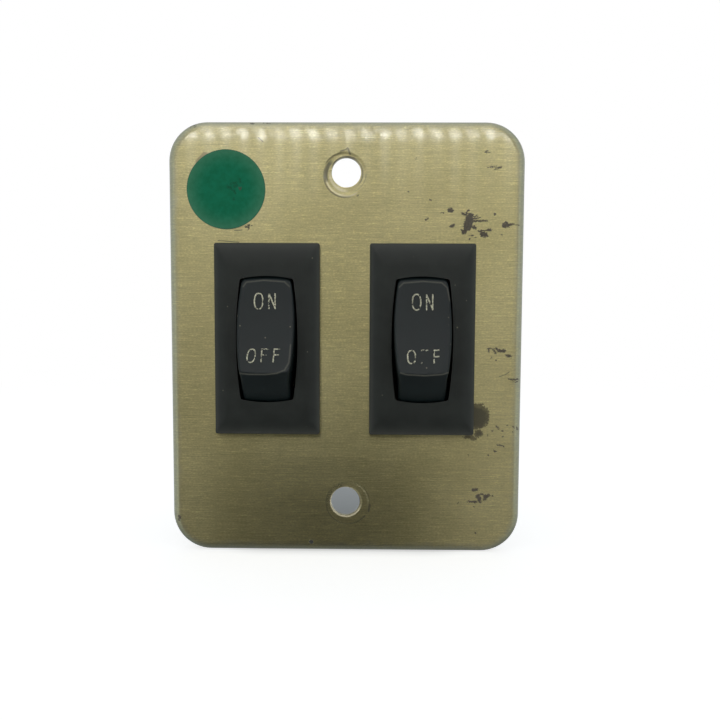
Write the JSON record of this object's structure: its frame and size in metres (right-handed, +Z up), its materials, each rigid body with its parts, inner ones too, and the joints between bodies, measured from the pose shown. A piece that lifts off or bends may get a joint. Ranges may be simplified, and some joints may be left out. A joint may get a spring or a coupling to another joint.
{
  "type": "recreational vehicle light switch",
  "caption": "Wall plate in brushed brass finish with a pair of black snap-in rocker switches side by side, screw holes above and below, and a round green label.",
  "frame": {"origin": "middle of the line between the two screw holes, on the front face of the plate", "axes": "+X to the right seen from the front, +Y into the wall, +Z up"},
  "size_m": [0.0646, 0.033, 0.079],
  "materials": {
    "brushed_brass": "brushed, lacquered, worn through to dark spots",
    "green_label": "matte self-adhesive film",
    "black_moulding": "fine satin mould texture",
    "white_moulding": "as moulded",
    "spring_steel": "drawn wire",
    "contact_copper": "stamped strip",
    "contact_silver": "coined rivet",
    "terminal_brass": "stamped strip",
    "base_moulding": "phenolic moulding"
  },
  "bodies": {
    "root": {"faceplate": "brushed_brass", "green_dot_label": "green_label", "left_housing": "black_moulding", "left_common_terminal": "terminal_brass", "left_load_terminal": "terminal_brass", "left_fixed_contact": "contact_silver", "left_terminal_base": "base_moulding", "right_housing": "black_moulding", "right_common_terminal": "terminal_brass", "right_load_terminal": "terminal_brass", "right_fixed_contact": "contact_silver", "right_terminal_base": "base_moulding"},
    "left_rocker_body": {"left_rocker": "black_moulding", "left_plunger_spring": "spring_steel"},
    "left_plunger_body": {"left_plunger": "white_moulding"},
    "left_blade_body": {"left_contact_blade": "contact_copper", "left_moving_contact": "contact_silver"},
    "right_rocker_body": {"right_rocker": "black_moulding", "right_plunger_spring": "spring_steel"},
    "right_plunger_body": {"right_plunger": "white_moulding"},
    "right_blade_body": {"right_contact_blade": "contact_copper", "right_moving_contact": "contact_silver"}
  },
  "joints": [
    {"name": "left_rocker_tilt", "type": "hinge", "parent": "root", "child": "left_rocker_body", "pos_m": [-0.01431, 0.00663, 0], "axis": [1, 0, 0], "range_deg": [0, 26]},
    {"name": "left_blade_tilt", "type": "hinge", "parent": "root", "child": "left_blade_body", "pos_m": [-0.01431, 0.01413, 0], "axis": [1, 0, 0], "range_deg": [-12, 0]},
    {"name": "left_plunger_slide", "type": "slide", "parent": "left_rocker_body", "child": "left_plunger_body", "axis": [0, -0.9744, 0.225], "range_m": [0, 0.0008], "stiffness_N_per_m": 900, "springref_m": -0.0022, "deforming": ["left_plunger_spring"]},
    {"name": "right_rocker_tilt", "type": "hinge", "parent": "root", "child": "right_rocker_body", "pos_m": [0.01391, 0.00663, 0], "axis": [1, 0, 0], "range_deg": [0, 26]},
    {"name": "right_blade_tilt", "type": "hinge", "parent": "root", "child": "right_blade_body", "pos_m": [0.01391, 0.01413, 0], "axis": [1, 0, 0], "range_deg": [-12, 0]},
    {"name": "right_plunger_slide", "type": "slide", "parent": "right_rocker_body", "child": "right_plunger_body", "axis": [0, -0.9744, 0.225], "range_m": [0, 0.0008], "stiffness_N_per_m": 900, "springref_m": -0.0022, "deforming": ["right_plunger_spring"]}
  ],
  "couplings": [
    {"joint": "left_blade_tilt", "follows": "left_rocker_tilt", "ratio": -0.46154},
    {"joint": "right_blade_tilt", "follows": "right_rocker_tilt", "ratio": -0.46154}
  ]
}
